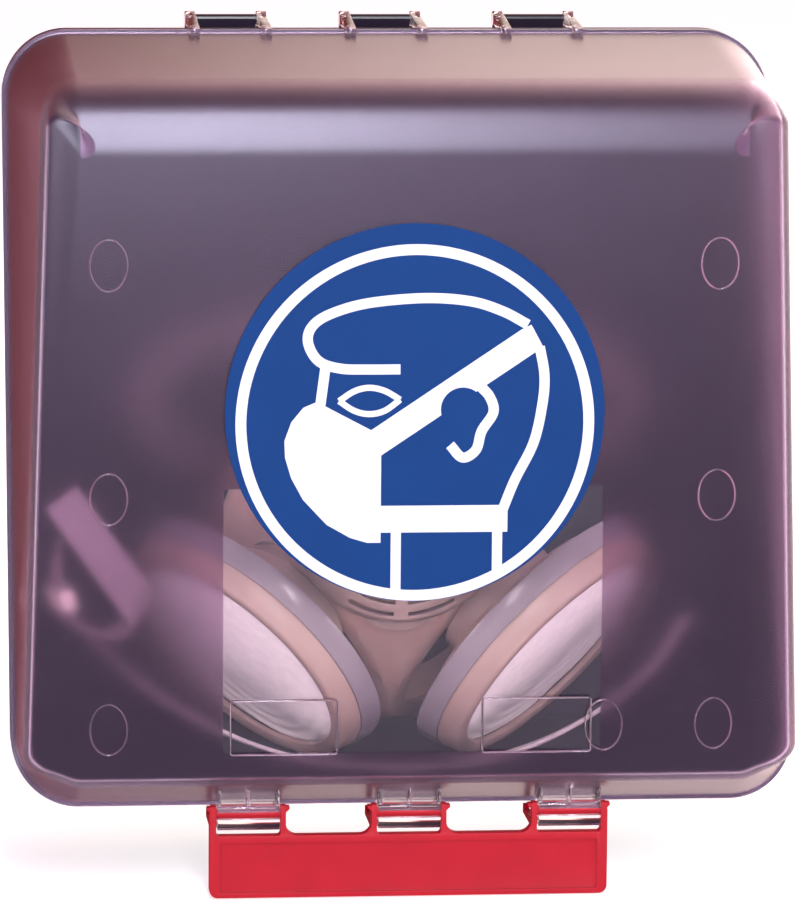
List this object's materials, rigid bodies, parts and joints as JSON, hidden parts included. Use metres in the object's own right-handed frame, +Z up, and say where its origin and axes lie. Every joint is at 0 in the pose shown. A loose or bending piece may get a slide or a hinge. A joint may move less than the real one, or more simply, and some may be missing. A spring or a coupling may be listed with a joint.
{
  "type": "respirator wall box",
  "caption": "Wall-mounted storage box with a frosted hinged lid and a front latch, holding a half mask respirator with twin side filters.",
  "frame": {"origin": "centre of the flat rear face that goes against the wall", "axes": "+Y into the wall, the lid faces -Y, +Z up, +X to the right of somebody who stands in front of the box"},
  "size_m": [0.236, 0.1261, 0.2552],
  "materials": {
    "dark_plastic": "fine moulded texture, charcoal black",
    "smoked_plastic": "frosted translucent purple-grey, clear where the label windows are",
    "black_pin": "smooth black rod",
    "red_plastic": "satin red",
    "sign_film": "blue self-adhesive film with a white pictogram",
    "mask_elastomer": "soft translucent beige elastomer",
    "mask_plastic": "pale beige moulded plastic",
    "filter_felt": "white fibrous filter pad",
    "valve_rubber": "thin pale silicone",
    "webbing": "ribbed elastic webbing",
    "slide_plastic": "pale moulded plastic"
  },
  "bodies": {
    "case": {"rear_shell": "dark_plastic", "facepiece": "mask_elastomer", "inhalation_port_left": "mask_plastic", "inhalation_port_right": "mask_plastic", "exhalation_seat": "mask_plastic", "exhalation_cover": "mask_plastic", "neck_strap_loop": "webbing", "strap_slide": "slide_plastic", "neck_strap": "webbing", "head_strap": "webbing"},
    "lid": {"front_lid": "smoked_plastic", "lid_arm_left_1": "smoked_plastic", "lid_arm_left_2": "smoked_plastic", "lid_arm_middle_1": "smoked_plastic", "lid_arm_middle_2": "smoked_plastic", "lid_arm_right_1": "smoked_plastic", "lid_arm_right_2": "smoked_plastic", "lid_clip_left": "smoked_plastic", "lid_clip_middle": "smoked_plastic", "lid_clip_right": "smoked_plastic", "hinge_pin_left": "black_pin", "hinge_pin_middle": "black_pin", "hinge_pin_right": "black_pin", "sign_disc": "sign_film"},
    "latch": {"latch": "red_plastic"},
    "filter_left": {"filter_pad_left": "filter_felt", "filter_ring_left": "mask_plastic", "filter_body_left": "mask_plastic"},
    "filter_right": {"filter_pad_right": "filter_felt", "filter_ring_right": "mask_plastic", "filter_body_right": "mask_plastic"},
    "exhalation_flap": {"exhalation_flap": "valve_rubber"},
    "inhalation_flap_left": {"inhalation_flap_left": "valve_rubber"},
    "inhalation_flap_right": {"inhalation_flap_right": "valve_rubber"}
  },
  "joints": [
    {"name": "lid_hinge", "type": "hinge", "parent": "case", "child": "lid", "pos_m": [0, -0.004, 0.1139], "axis": [-1, 0, 0], "range_deg": [0, 90]},
    {"name": "latch_hinge", "type": "hinge", "parent": "lid", "child": "latch", "pos_m": [0, -0.1155, -0.1135], "axis": [-1, 0, 0], "range_deg": [0, 110]},
    {"name": "filter_left_turn", "type": "hinge", "parent": "case", "child": "filter_left", "pos_m": [-0.0485, -0.07, -0.0746], "axis": [-0.6498, -0.4399, -0.6198], "range_deg": [0, 30]},
    {"name": "filter_right_turn", "type": "hinge", "parent": "case", "child": "filter_right", "pos_m": [0.0485, -0.07, -0.0746], "axis": [0.6498, -0.4399, -0.6198], "range_deg": [0, 30]},
    {"name": "exhalation_flap_lift", "type": "slide", "parent": "case", "child": "exhalation_flap", "axis": [0, -0.9781, -0.2079], "range_m": [0, 0.0015], "stiffness_N_per_m": 30, "springref_m": -0.001},
    {"name": "inhalation_flap_left_lift", "type": "slide", "parent": "case", "child": "inhalation_flap_left", "axis": [0.6498, 0.4399, 0.6198], "range_m": [0, 0.0015], "stiffness_N_per_m": 30, "springref_m": -0.001},
    {"name": "inhalation_flap_right_lift", "type": "slide", "parent": "case", "child": "inhalation_flap_right", "axis": [-0.6498, 0.4399, 0.6198], "range_m": [0, 0.0015], "stiffness_N_per_m": 30, "springref_m": -0.001}
  ]
}
